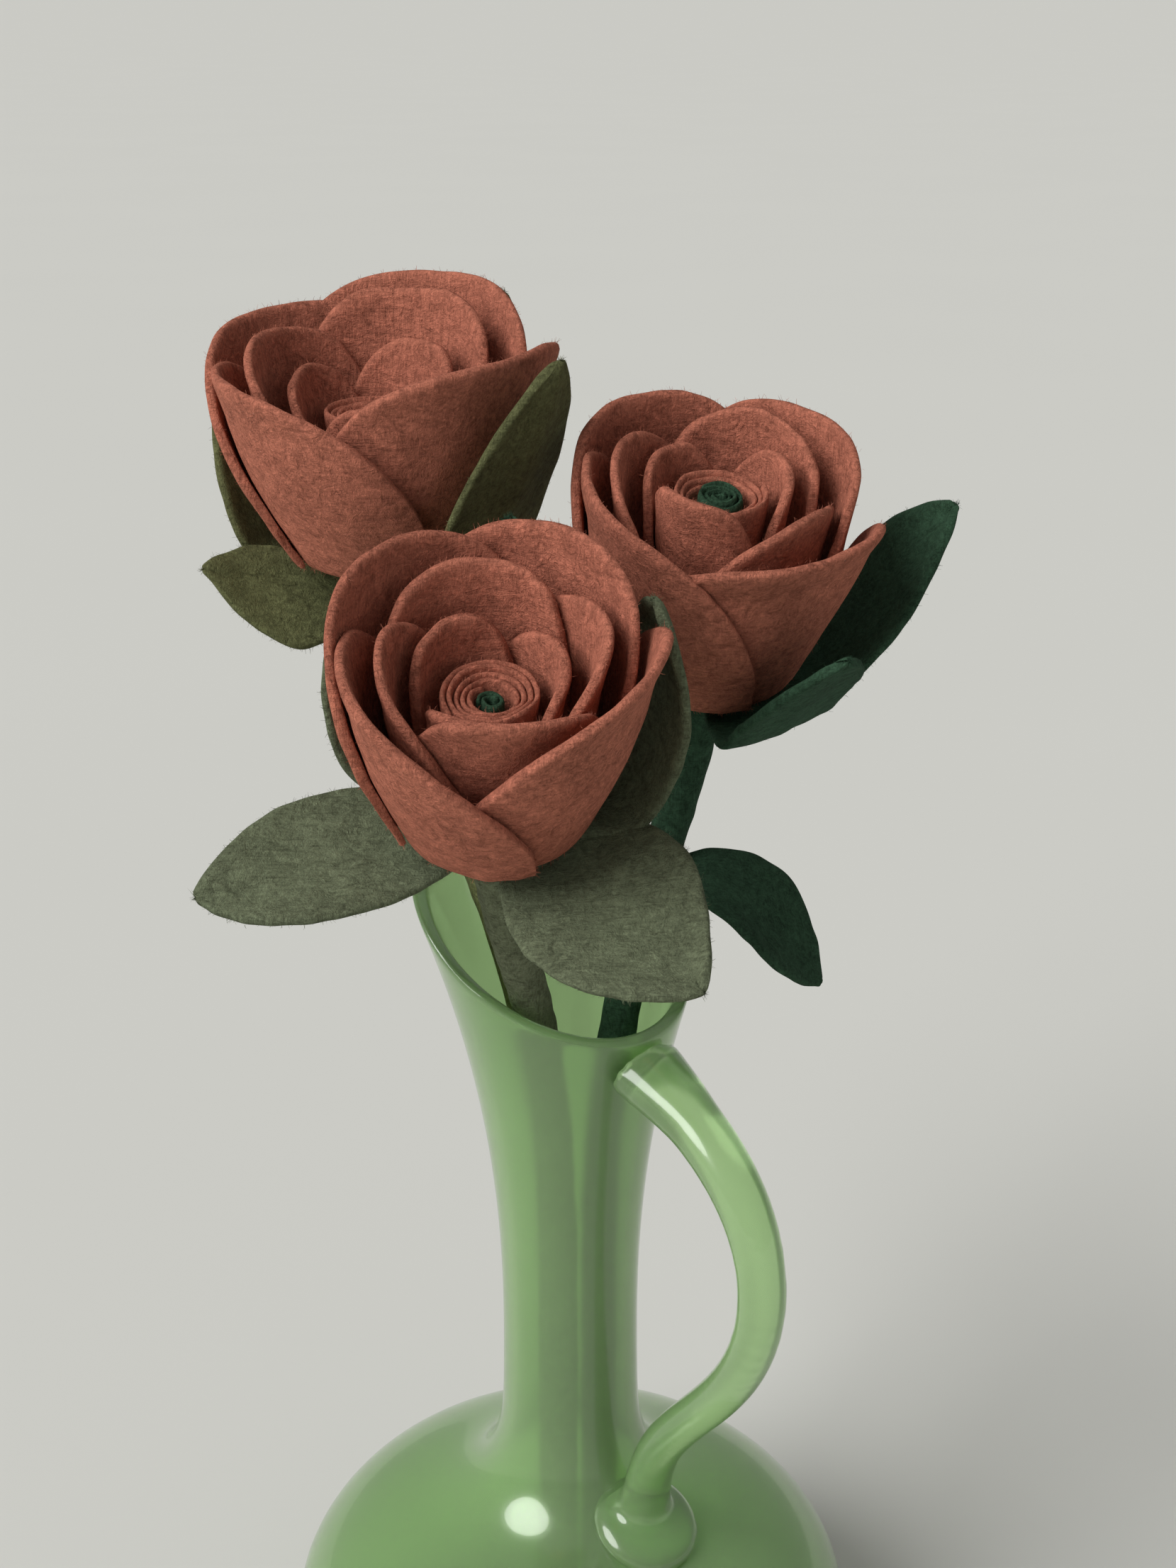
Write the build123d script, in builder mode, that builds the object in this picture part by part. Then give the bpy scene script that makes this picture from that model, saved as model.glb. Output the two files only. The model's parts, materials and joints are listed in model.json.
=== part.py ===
"""A blown-glass jug vase that holds three felt roses on wrapped wire stems.

The vase stands on z = 0 with its axis on the z axis. +X is the right of the vase and -Y its front.
All sizes are in millimetres and all angles in degrees. One STEP file is written for each piece.
"""

import math
import os

from build123d import *

# --- glass vase ---------------------------------------------------------------------------------
bulb_radius = 65.0
bulb_height = 33.0  # of the widest place above the table
bulb_top_rise = 35.0  # from the widest place to where the shoulder would close
foot_radius = 32.0
neck_radius = 15.1
neck_height = 111.0  # where the neck is narrowest
flare_length = 80.0
flare_width = 10.3  # the mouth's growth in radius over flare_length
flare_power = 2.2
glass_wall = 3.0
floor_thickness = 6.0
mouth_height = 203.0  # of the slanting mouth's plane on the axis
mouth_slant = 28.5
handle_azimuth = -48.0  # the handle, and the low side of the mouth
rim_round = 1.3

# --- glass handle, as points (distance from the axis, height) in its own upright plane -----------
handle_route = [
    (23.0, 182.5), (40.0, 174.5), (53.5, 161.5), (58.5, 143.0), (53.0, 123.0), (40.0, 105.0),
    (28.5, 88.0), (24.5, 66.0),
]
handle_sections = [
    (0.0, 9.0, 6.4), (0.12, 6.4, 5.4), (0.35, 5.4, 4.9), (0.7, 5.2, 4.7), (0.88, 5.6, 4.8),
    (1.0, 7.0, 5.4),
]
pad_radius = 12.5
pad_thickness = 9.0
pad_centre = (25.5, 68.0)

# --- felt and stems -----------------------------------------------------------------------------
felt = 2.1
felt_base = 1.3  # petals are squeezed thinner where they are glued together
petal_gap = 0.25
leaf_felt = 2.0
wire_radius = 1.5
wrap_radius = 4.5
wrap_gap = 0.05
stem_offset = 6.4  # of each stem from the vase's axis, where it stands in the neck
stem_foot = floor_thickness + 0.4
stem_straight_to = 128.0
disc_thickness = 2.0
disc_radius = 13.0
collar_length = 6.7  # of the calyx below the flower's base plane
pivot_depth = 7.2  # of the place where the wire bends, below the flower's base plane
wrap_taper = 2.7  # how far below the pivot the wrap's cut-back end starts
leaf_root_radius = 5.6
leaf_bend_radius = 7.0
leaf_level = 3.1  # of a leaf's mid-plane below the flower's base plane

# Each ring of petals: (radius at the base, radius at the top, [(azimuth, height, lean, fullness), ...]).
# Azimuths are counted from the flower's own right-hand side, anticlockwise seen from above. A petal is
# widest at its base. Lean is how far round the ring its top leans; a fuller petal has a broader top.
petal_width = 150.0
loft_height = 50.0  # a petal reaches its full radius at this height
base_squeeze = 0.66  # how much less a petal moves outwards at its base than at its top

roses = {
    "front_rose": {
        "base": (-14.0, -38.8, 248.0),
        "axis": (0.03, -0.416, 0.909),
        "stem_azimuth": 245.0,
        "stem_pull": (75.0, 36.0),
        "core": (5.9, 9.4, 30.0),
        "bud": (2.9, 28.8),
        "rings": {
            "inner": (6.3, 10.2, [(20, 36.0, 10, 2.4), (130, 37.5, 0, 2.6), (250, 34.0, 0, 2.4)]),
            "middle": (10.2, 16.3, [
                (12, 42.0, 8, 2.2),
                (102, 43.5, 0, 3.0),
                (194, 41.5, -12, 2.0),
                (284, 39.5, 0, 3.0),
            ]),
            "outer": (14.9, 23.3, [
                (56, 47.5, 5, 2.6),
                (138, 47.0, 0, 2.8),
                (222, 42.0, -25, 1.9),
                (318, 44.5, 25, 1.9),
            ]),
        },
    },
    "right_rose": {
        "base": (28.4, 10.9, 262.0),
        "axis": (0.03, -0.336, 0.942),
        "stem_azimuth": 5.0,
        "stem_pull": (75.0, 32.0),
        "core": (6.9, 9.6, 41.0),
        "bud": (5.3, 42.0),
        "rings": {
            "inner": (7.2, 10.0, [(25, 44.5, 0, 2.6), (140, 45.0, 0, 2.6), (243, 46.5, -5, 3.0)]),
            "middle": (10.9, 16.8, [(60, 47.5, 0, 3.0), (168, 47.5, 0, 2.8), (300, 43.5, 25, 2.2)]),
            "outer": (14.9, 23.2, [
                (42, 47.5, 0, 2.8),
                (127, 49.0, 0, 2.8),
                (220, 47.0, -20, 3.0),
                (300, 40.0, 0, 5.0),
            ]),
        },
    },
    "back_rose": {
        "base": (-39.2, 22.6, 281.5),
        "axis": (0.0, -0.088, 0.996),
        "stem_azimuth": 125.0,
        "stem_pull": (85.0, 36.0),
        "core": (5.0, 10.5, 31.0),
        "bud": (2.4, 29.5),
        "rings": {
            "inner": (5.4, 13.0, [(55, 42.0, 0, 2.4), (165, 38.0, 0, 2.6), (280, 35.0, 0, 2.6)]),
            "middle": (9.4, 20.6, [(68, 50.5, 0, 3.2), (172, 45.0, -12, 3.0), (296, 42.0, 25, 2.6)]),
            "outer": (13.9, 28.2, [
                (62, 52.0, 5, 2.8),
                (138, 46.5, -8, 2.7),
                (230, 41.5, -26, 2.9),
                (314, 45.5, 12, 3.3),
            ]),
        },
    },
}

# Each leaf: (azimuth, rise, length, width, extra depth of its root below the others, further bend of its
# blade, roll about its root, sideways sweep of its tip).
leaves = {
    "front_rose": {
        "leaf_left": (191, 1, 50, 29, 3.6, -8.0, -8.0, 6.0),
        "leaf_right": (323, 5, 47, 36, 2.8, -8.0, 10.0, -6.0),
        "leaf_back_right": (24, 60, 58, 30, 0.0, 50.0, 0.0, 0.0),
        "leaf_back_left": (136, 66, 54, 28, 0.0, 30.0, 0.0, 0.0),
    },
    "right_rose": {
        "leaf_right": (13, 48, 55, 31, 0.0, 6.0, 0.0, 3.0),
        "leaf_front": (302, 58, 48, 26, 0.0, 2.0, 0.0, 0.0),
        "leaf_left": (210, 66, 66, 26, 0.0, 4.0, 0.0, 0.0),
    },
    "back_rose": {
        "leaf_front": (204, 3, 30, 21, 5.8, 4.0, -50.0, -10.0),
        "leaf_left": (152, 61, 47, 26, 0.0, 12.0, 0.0, 0.0),
        "leaf_right": (327, 64, 64, 32, 0.0, 8.0, 0.0, 0.0),
        "leaf_back": (52, 70, 62, 26, 0.0, 5.0, 0.0, 0.0),
    },
}
side_leaf_height = 215.0
side_leaf_azimuth = -20.0
side_leaf_shape = (-50.0, 32.0, 22.0, -8.0, 25.0, -3.0)

os.makedirs("parts", exist_ok=True)


def save(piece, name):
    """Writes one finished piece as its own STEP file."""
    piece.part.label = name
    export_step(piece.part, f"parts/{name}.step")


def polar(radius, angle):
    """The point at that radius and angle in a sketch."""
    return (radius * math.cos(math.radians(angle)), radius * math.sin(math.radians(angle)))


def turned(plane, direction, angle):
    """The plane turned in place by an angle about a direction."""
    axis = Axis((0, 0, 0), direction)
    return Plane(
        origin=plane.origin, x_dir=plane.x_dir.rotate(axis, angle), z_dir=plane.z_dir.rotate(axis, angle)
    )


def flare_radius(height):
    """The vase's outer radius at a height on its neck or mouth."""
    return neck_radius + flare_width * max(0.0, (height - neck_height) / flare_length) ** flare_power


# --- vase ---------------------------------------------------------------------------------------
mouth_top = mouth_height + 34.0


def shoulder_height(radius):
    """The height of the bulb's upper surface at a radius."""
    return bulb_height + bulb_top_rise * math.sqrt(1 - (radius / bulb_radius) ** 2)


outer_points = [
    (foot_radius, 0.0),
    (54.5, 11.5),
    (bulb_radius, bulb_height),
    (55.0, shoulder_height(55.0)),
    (36.0, shoulder_height(36.0)),
    (21.5, 70.5),
    (neck_radius + 1.2, 82.0),
    (neck_radius + 0.2, 95.0),
    (neck_radius, neck_height),
    *[(flare_radius(h), h) for h in (135.0, 155.0, 172.0, 188.0, 204.0, 220.0, mouth_top)],
]
slant_plane = Plane(
    origin=(0, 0, mouth_height),
    z_dir=Vector(0, 0, 1).rotate(Axis.Y, mouth_slant).rotate(Axis.Z, handle_azimuth),
)

with BuildPart() as vase_body:
    with BuildSketch(Plane.XZ):
        with BuildLine():
            outer = Spline(*outer_points)
            inner_shares = [0.12 + 0.88 * i / 24 for i in range(25)]
            inner_points = []
            for share in inner_shares:
                along = outer % share
                inner_points.append(outer @ share + Vector(-along.Y, along.X) * glass_wall)
            inner = Spline(*inner_points)
            floor_edge = (inner @ 0).X - 9.0
            floor_curve = Spline((0, floor_thickness), (25.0, floor_thickness), (floor_edge, 10.5), inner @ 0)
            Line(inner @ 1, outer @ 1)
            Polyline((0, floor_thickness), (0, 0), outer @ 0)
        make_face()
    revolve(axis=Axis.Z)
    split(bisect_by=slant_plane, keep=Keep.BOTTOM)
    rim_faces = vase_body.faces().filter_by(Axis(slant_plane.origin, slant_plane.z_dir))
    rim_edges = rim_faces.sort_by(Axis.Z)[-1].edges()
    fillet(rim_edges, rim_round)
save(vase_body, "vase_body")

with BuildPart() as vase_solid:
    with BuildSketch(Plane.XZ):
        with BuildLine():
            outside = Spline(*outer_points)
            Polyline(outside @ 1, (0, (outside @ 1).Y), (0, 0), outside @ 0)
        make_face()
    revolve(axis=Axis.Z)

# --- handle -------------------------------------------------------------------------------------
handle_plane = Plane(
    origin=(0, 0, 0),
    x_dir=Vector(1, 0, 0).rotate(Axis.Z, handle_azimuth),
    z_dir=Vector(0, -1, 0).rotate(Axis.Z, handle_azimuth),
)

with BuildPart() as vase_handle:
    with BuildLine(handle_plane) as route:
        handle_path = Spline(*handle_route)
    for share, half_width, half_depth in handle_sections:
        section = Plane(origin=handle_path @ share, x_dir=handle_plane.z_dir, z_dir=handle_path % share)
        with BuildSketch(section):
            Ellipse(half_width, half_depth)
    sweep(path=handle_path, multisection=True)
    pad_tilt = math.degrees(math.atan2(28.0, 60.0))
    pad_plane = Plane(
        origin=handle_plane.from_local_coords((*pad_centre, 0)),
        x_dir=handle_plane.z_dir,
        z_dir=handle_plane.x_dir * math.sin(math.radians(pad_tilt))
        + Vector(0, 0, 1) * math.cos(math.radians(pad_tilt)),
    )
    with BuildSketch(Plane(origin=pad_plane.origin, x_dir=pad_plane.x_dir, z_dir=pad_plane.y_dir)):
        Ellipse(pad_radius, pad_thickness / 2)
        split(bisect_by=Plane.YZ, keep=Keep.TOP)
    revolve(axis=Axis(pad_plane.origin, pad_plane.z_dir))
    add(vase_solid.part, mode=Mode.SUBTRACT)
save(vase_handle, "vase_handle")


# --- flower pieces ------------------------------------------------------------------------------
def head_plane(rose):
    """The flower's base plane: x to its right, y to its back, z along its axis."""
    z_dir = Vector(*rose["axis"])
    return Plane(origin=rose["base"], x_dir=Vector(0, 1, 0).cross(z_dir), z_dir=z_dir)


def petal_drift(azimuths):
    """How far a petal moves outwards over its width, so that it clears the next one of its ring."""
    steps = [(b - a) % 360 for a, b in zip(azimuths, azimuths[1:] + azimuths[:1])]
    return (felt + petal_gap) * petal_width / min(steps)


def make_petal(name, head, ring, azimuth, height, lean, fullness):
    """One petal: a curved strip with a domed outline, from inside its neighbour to outside the next."""
    base_radius, top_radius, petals = ring
    frame = turned(head, head.z_dir, azimuth)
    drift = petal_drift([petal[0] for petal in petals])
    half = petal_width / 2

    def face_point(level, angle, outwards):
        """The point of the inner face at a height and angle, moved outwards by a share of the felt."""
        share = level / loft_height
        filled = min(1.0, 2.5 * share)
        radius = base_radius + (top_radius - base_radius) * (1 - (1 - share) ** 2)
        radius += drift * (base_squeeze + (1 - base_squeeze) * filled) * (angle / half + 1) / 2
        return polar(radius + outwards * (felt_base + (felt - felt_base) * filled), angle)

    with BuildPart() as petal:
        for share in (0.0, 0.4, 1.06):
            level = share * loft_height
            angles = [angle + lean * level / height for angle in (-half, 0, half)]
            with BuildSketch(frame.offset(level)):
                with BuildLine():
                    near = ThreePointArc(*[face_point(level, angle, 0) for angle in angles])
                    far = ThreePointArc(*[face_point(level, angle, 1) for angle in angles])
                    Line(near @ 0, far @ 0)
                    Line(near @ 1, far @ 1)
                make_face()
        loft()
        outline = []
        for i in range(-10, 11):
            u = 0.985 * math.sin(math.radians(8.2 * i)) / math.sin(math.radians(82))
            level = height * math.sqrt(1 - abs(u) ** fullness)
            outline.append((face_point(level, u * half + lean * level / height, 0.5)[1], level))
        with BuildSketch(Plane(origin=frame.origin, x_dir=frame.y_dir, z_dir=frame.x_dir)):
            with BuildLine():
                dome = Spline(*outline)
                Polyline(dome @ 1, ((dome @ 1).X, -1), ((dome @ 0).X, -1), dome @ 0)
            make_face()
        extrude(amount=top_radius + drift + felt + 5, mode=Mode.INTERSECT)
    save(petal, name)


def make_core(rose_name, rose, head):
    """The rolled strip in the flower's middle and the green bud that it is rolled round."""
    base_radius, top_radius, height = rose["core"]
    bud, bud_height = rose["bud"]
    side = Plane(origin=head.origin, x_dir=head.x_dir, z_dir=-head.y_dir)
    with BuildPart() as core:
        with BuildSketch(side):
            Polygon(
                (bud + 0.1, 0.2), (base_radius, 0.2), (top_radius, height), (bud + 0.1, height - 2.5),
                align=None,
            )
        revolve(axis=Axis(head.origin, head.z_dir))
    save(core, f"{rose_name}_core")
    with BuildPart() as centre:
        with BuildSketch(head.offset(0.2)):
            Circle(bud)
        extrude(amount=bud_height - 0.2)
        fillet(centre.edges().filter_by(GeomType.CIRCLE).sort_by(Axis(head.origin, head.z_dir))[-1], 0.7)
    save(centre, f"{rose_name}_bud")


def make_calyx(rose_name, head):
    """The felt disc under the petals, with the collar that takes the end of the stem."""
    with BuildPart() as calyx:
        with BuildSketch(head):
            Circle(disc_radius)
        extrude(amount=-disc_thickness)
        with BuildSketch(head):
            Circle(wrap_radius)
        extrude(amount=-collar_length)
    save(calyx, f"{rose_name}_calyx")


def make_leaf(name, root, rise, length, width, arch, rolled, sweep, flat, bend_radius):
    """One almond-shaped felt leaf: flat at its root, bent by rise, and bent further along its blade by arch.
    root: x along the leaf, z up."""
    root = turned(root, root.x_dir, rolled)
    blade_length = length - flat
    with BuildPart() as leaf:
        with BuildSketch(Plane(origin=root.origin, x_dir=root.x_dir, z_dir=-root.y_dir)):
            with BuildLine():
                run = Line((0, 0), (flat, 0))
                turn = JernArc(run @ 1, run % 1, bend_radius, rise)
                blade = JernArc(turn @ 1, turn % 1, blade_length / math.radians(abs(arch)), arch)
                tip_point = blade @ 1
            trace(line_width=leaf_felt)
        extrude(amount=width, both=True)
        chord = math.degrees(math.atan2(tip_point.Y, tip_point.X))
        tip = tip_point.length
        with BuildSketch(turned(root, root.y_dir, -chord)):
            with BuildLine():
                for side in (1, -1):
                    Spline(
                        (-0.5, side * 2.6),
                        (0.30 * tip, side * 0.40 * width + 0.09 * sweep),
                        (0.55 * tip, side * 0.5 * width + 0.30 * sweep),
                        (tip, sweep),
                        tangents=((1, side * 0.25), (1, side * -0.75 + 1.5 * sweep / tip)),
                    )
                Line((-0.5, 2.6), (-0.5, -2.6))
            make_face()
        extrude(amount=3 * width, both=True, mode=Mode.INTERSECT)
    save(leaf, name)


def make_stem(rose_name, rose, head):
    """The bent wire and the felt wound round it, from the vase's floor to where the wire bends."""
    foot = Vector(*polar(stem_offset, rose["stem_azimuth"]), stem_foot)
    pivot = head.origin - head.z_dir * pivot_depth
    lower_pull, upper_pull = rose["stem_pull"]
    with BuildLine() as route:
        straight = Line(foot, Vector(foot.X, foot.Y, stem_straight_to))
        Bezier(
            straight @ 1, straight @ 1 + Vector(0, 0, lower_pull), pivot - head.z_dir * upper_pull, pivot
        )
    stem = route.wires()[0]
    with BuildPart() as wire:
        with BuildSketch(Plane(origin=foot, z_dir=(0, 0, 1))):
            Circle(wire_radius)
        sweep(path=stem)
    save(wire, f"{rose_name}_stem_wire")
    end_plane = Plane(origin=pivot, z_dir=head.z_dir)
    with BuildPart() as wrap:
        with BuildSketch(Plane(origin=foot, z_dir=(0, 0, 1))):
            Circle(wrap_radius)
            Circle(wire_radius + wrap_gap, mode=Mode.SUBTRACT)
        sweep(path=stem)
        with BuildSketch(Plane(origin=pivot, x_dir=end_plane.x_dir, z_dir=end_plane.y_dir)):
            with BuildLine():
                Polyline(
                    (0.5, -0.5), (wrap_radius + 1, -0.5), (wrap_radius + 1, wrap_taper + 1.0),
                    (wrap_radius, wrap_taper), (2.2, 0.4), (0.5, 0.4), close=True,
                )
            make_face()
        revolve(axis=Axis(pivot, head.z_dir), mode=Mode.SUBTRACT)
    save(wrap, f"{rose_name}_stem_wrap")
    return stem


for rose_name, rose in roses.items():
    head = head_plane(rose)
    for ring_name, ring in rose["rings"].items():
        for number, shape in enumerate(ring[2], start=1):
            make_petal(f"{rose_name}_{ring_name}_petal_{number}", head, ring, *shape)
    make_core(rose_name, rose, head)
    make_calyx(rose_name, head)
    stem = make_stem(rose_name, rose, head)
    flat = rose["rings"]["outer"][0] + 6.0 - leaf_root_radius
    for leaf_name, (azimuth, rise, length, width, deeper, *form) in leaves[rose_name].items():
        level = turned(head.offset(-leaf_level - deeper), head.z_dir, azimuth)
        root = Plane(
            origin=level.from_local_coords((leaf_root_radius, 0, 0)), x_dir=level.x_dir, z_dir=level.z_dir
        )
        make_leaf(f"{rose_name}_{leaf_name}", root, rise, length, width, *form, flat, leaf_bend_radius)
    if rose_name == "right_rose":
        share = min((s / 200 for s in range(201)), key=lambda s: abs((stem @ s).Z - side_leaf_height))
        heading = turned(Plane.XY, Plane.XY.z_dir, side_leaf_azimuth)
        at = stem @ share + heading.x_dir * (wrap_radius + 0.6)
        make_leaf(
            "right_rose_side_leaf", Plane(origin=at, x_dir=heading.x_dir, z_dir=(0, 0, 1)),
            *side_leaf_shape, 4.0, 12.0,
        )
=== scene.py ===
"""Looks of a milky green glass jug vase that holds three felt roses, built round its CAD frame."""

import json
import math
import random

import bpy
import numpy as np
from bpy.props import FloatProperty, FloatVectorProperty, IntProperty, PointerProperty
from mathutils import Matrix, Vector, noise

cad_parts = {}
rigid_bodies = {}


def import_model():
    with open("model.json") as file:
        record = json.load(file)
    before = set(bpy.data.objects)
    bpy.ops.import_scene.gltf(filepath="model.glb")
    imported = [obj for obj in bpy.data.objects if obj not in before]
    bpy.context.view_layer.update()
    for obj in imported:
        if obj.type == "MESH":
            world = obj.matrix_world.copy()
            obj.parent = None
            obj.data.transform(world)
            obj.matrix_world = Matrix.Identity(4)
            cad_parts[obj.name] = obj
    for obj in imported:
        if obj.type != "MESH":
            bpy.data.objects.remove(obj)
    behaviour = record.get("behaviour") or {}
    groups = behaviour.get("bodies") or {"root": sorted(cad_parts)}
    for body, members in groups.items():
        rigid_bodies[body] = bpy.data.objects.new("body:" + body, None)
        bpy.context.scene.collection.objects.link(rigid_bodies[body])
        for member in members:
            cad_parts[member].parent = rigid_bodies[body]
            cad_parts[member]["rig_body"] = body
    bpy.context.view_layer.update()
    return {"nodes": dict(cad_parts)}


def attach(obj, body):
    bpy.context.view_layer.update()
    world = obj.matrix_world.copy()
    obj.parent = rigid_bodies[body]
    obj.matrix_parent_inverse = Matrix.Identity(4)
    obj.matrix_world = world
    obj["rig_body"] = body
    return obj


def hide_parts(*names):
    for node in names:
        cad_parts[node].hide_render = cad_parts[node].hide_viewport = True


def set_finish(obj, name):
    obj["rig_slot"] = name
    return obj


bl_info = {
    "name": "Jug vase with felt roses",
    "version": (1, 0, 0),
    "blender": (4, 5, 0),
    "location": "3D View > Sidebar > Vase",
    "description": "Builds a glass jug vase and its bunch of rolled felt roses",
    "category": "Object",
}

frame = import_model()
MM = 0.001

# Each flower, in millimetres and degrees: body that it rides on, base and axis of its head, stem (azimuth
# of its foot, lower pull, upper pull), coil (radius at base, radius at top, height), bud (radius, height),
# wave of its petals, and rings. A ring is (radius at base, radius at top, petals), and a petal is (azimuth,
# height, lean along the ring, fullness, curl of its corner).
ROSES = {
    "front_rose": {
        "body": "front_head",
        "base": (-14.0, -38.8, 248.0),
        "axis": (0.03, -0.416, 0.909),
        "stem": (245.0, 75.0, 36.0),
        "coil": (5.9, 9.4, 30.0),
        "bud": (2.9, 28.8),
        "wave": 0.4,
        "rings": {
            "inner": (6.3, 10.2, [
                (20, 36.0, 10, 2.4, 0.3),
                (130, 37.5, 0, 2.6, 0.3),
                (250, 34.0, 0, 2.4, 0.4),
            ]),
            "middle": (10.2, 16.3, [
                (12, 42.0, 8, 2.2, 0.5),
                (102, 43.5, 0, 3.0, 0.4),
                (194, 41.5, -12, 2.0, 0.4),
                (284, 39.5, 0, 3.0, 0.5),
            ]),
            "outer": (14.9, 23.3, [
                (56, 47.5, 5, 2.6, 0.6),
                (138, 47.0, 0, 2.8, 0.6),
                (222, 42.0, -25, 1.9, 0.8),
                (318, 44.5, 25, 1.9, 2.4),
            ]),
        },
    },
    "right_rose": {
        "body": "right_head",
        "base": (28.4, 10.9, 262.0),
        "axis": (0.03, -0.336, 0.942),
        "stem": (5.0, 75.0, 32.0),
        "coil": (6.9, 9.6, 41.0),
        "bud": (5.3, 42.0),
        "wave": 0.45,
        "rings": {
            "inner": (7.2, 10.0, [
                (25, 44.5, 0, 2.6, 0.3),
                (140, 45.0, 0, 2.6, 0.3),
                (243, 46.5, -5, 3.0, 0.4),
            ]),
            "middle": (10.9, 16.8, [
                (60, 47.5, 0, 3.0, 0.4),
                (168, 47.5, 0, 2.8, 0.5),
                (300, 43.5, 25, 2.2, 0.5),
            ]),
            "outer": (14.9, 23.2, [
                (42, 47.5, 0, 2.8, 0.6),
                (127, 49.0, 0, 2.8, 0.5),
                (220, 47.0, -20, 3.0, 0.8),
                (300, 40.0, 0, 5.0, 2.8),
            ]),
        },
    },
    "back_rose": {
        "body": "back_head",
        "base": (-39.2, 22.6, 281.5),
        "axis": (0.0, -0.088, 0.996),
        "stem": (125.0, 85.0, 36.0),
        "coil": (5.0, 10.5, 31.0),
        "bud": (2.4, 29.5),
        "wave": 0.7,
        "rings": {
            "inner": (5.4, 13.0, [
                (55, 42.0, 0, 2.4, 0.3),
                (165, 38.0, 0, 2.6, 0.3),
                (280, 35.0, 0, 2.6, 0.3),
            ]),
            "middle": (9.4, 20.6, [
                (68, 50.5, 0, 3.2, 0.6),
                (172, 45.0, -12, 3.0, 0.5),
                (296, 42.0, 25, 2.6, 0.6),
            ]),
            "outer": (13.9, 28.2, [
                (62, 52.0, 5, 2.8, 1.0),
                (138, 46.5, -8, 2.7, 0.8),
                (230, 41.5, -26, 2.9, 1.0),
                (314, 45.5, 12, 3.3, 2.0),
            ]),
        },
    },
}

# Each leaf: azimuth, rise, length, width, depth of its root, further bend of its blade, roll, sideways
# sweep of its tip, fold along its midrib.
LEAVES = {
    "front_rose": {
        "leaf_left": (191, 1, 50, 29, 3.6, -8.0, -8.0, 6.0, 0.10),
        "leaf_right": (323, 5, 47, 36, 2.8, -8.0, 10.0, -6.0, 0.08),
        "leaf_back_right": (24, 60, 58, 30, 0.0, 50.0, 0.0, 0.0, 0.10),
        "leaf_back_left": (136, 66, 54, 28, 0.0, 30.0, 0.0, 0.0, 0.10),
    },
    "right_rose": {
        "leaf_right": (13, 48, 55, 31, 0.0, 6.0, 0.0, 3.0, 0.10),
        "leaf_front": (302, 58, 48, 26, 0.0, 2.0, 0.0, 0.0, 0.12),
        "leaf_left": (210, 66, 66, 26, 0.0, 4.0, 0.0, 0.0, 0.12),
    },
    "back_rose": {
        "leaf_front": (204, 3, 30, 21, 5.8, 4.0, -50.0, -10.0, 0.0),
        "leaf_left": (152, 61, 47, 26, 0.0, 12.0, 0.0, 0.0, 0.12),
        "leaf_right": (327, 64, 64, 32, 0.0, 8.0, 0.0, 0.0, 0.12),
        "leaf_back": (52, 70, 62, 26, 0.0, 5.0, 0.0, 0.0, 0.10),
    },
}
LEAF_SLOT = {"front_rose": "sage_felt", "right_rose": "forest_felt", "back_rose": "olive_felt"}
STEM_SLOT = {"front_rose": "taupe_felt", "right_rose": "forest_felt", "back_rose": "olive_felt"}

# The vase's outer profile and the handle's route, as (distance from the axis, height).
MOUTH_TOP = 237.0
PROFILE = [
    (32.0, 0.0), (54.5, 11.5), (65.0, 33.0), (55.0, 51.66), (36.0, 62.14), (21.5, 70.5), (16.3, 82.0),
    (15.3, 95.0), (15.1, 111.0),
]
HANDLE_AZIMUTH = math.radians(-48.0)
HANDLE_ROUTE = [
    (23.0, 182.5), (40.0, 174.5), (53.5, 161.5), (58.5, 143.0), (53.0, 123.0), (40.0, 105.0),
    (28.5, 88.0), (24.5, 66.0),
]
HANDLE_SECTIONS = [
    (0.0, 9.0, 6.4), (0.12, 6.4, 5.4), (0.35, 5.4, 4.9), (0.7, 5.2, 4.7), (0.88, 5.6, 4.8),
    (1.0, 7.0, 5.4),
]

# Petals: half their angle, half the angle over which they move outwards, the height of their full radius,
# how much of that move they have at their base, the felt's thickness at top and base, and their gap.
PETAL_HALF = 77.0
DRIFT_HALF = 75.0
LOFT_HEIGHT = 50.0
BASE_SQUEEZE = 0.66
FELT, FELT_BASE, PETAL_GAP = 2.1, 1.3, 0.25

# Felt: thickness of each kind of strip and disc, pitch of the rolled ones, bulge of a cut edge in half
# thicknesses, scale and size of the lumps, and the share of loose fibres that stand on a cut edge.
WRAP_FELT, DISC_FELT, COLLAR_FELT = 1.5, 1.9, 1.3
COIL_FELT, COIL_PITCH = 1.22, 1.42
BUD_FELT, BUD_PITCH = 1.15, 1.3
EDGE_ROUNDING = 0.3
LUMP_SCALE, LUMP_SIZE = 0.28, 0.42
FIBRES_ON_EDGE = 0.62

# Depth of the head's pivot below its base plane, where the stem ends.
PIVOT_DEPTH = 7.2


class VaseSettings(bpy.types.PropertyGroup):
    """Sizes and colours of the glass."""

    mouth_height: FloatProperty(
        name="Mouth height", description="Height of the slanting mouth on the axis",
        default=0.203, unit="LENGTH",
    )
    mouth_slant: FloatProperty(
        name="Mouth slant", description="Slant of the mouth towards the handle",
        default=math.radians(28.5), subtype="ANGLE",
    )
    wall: FloatProperty(name="Wall", description="Thickness of the glass", default=0.003, unit="LENGTH")
    glass: FloatVectorProperty(
        name="Glass", description="Colour of the glass",
        default=(0.49, 0.73, 0.35), subtype="COLOR",
    )
    roughness: FloatProperty(name="Roughness", description="Roughness of the glass", default=0.20)


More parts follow.
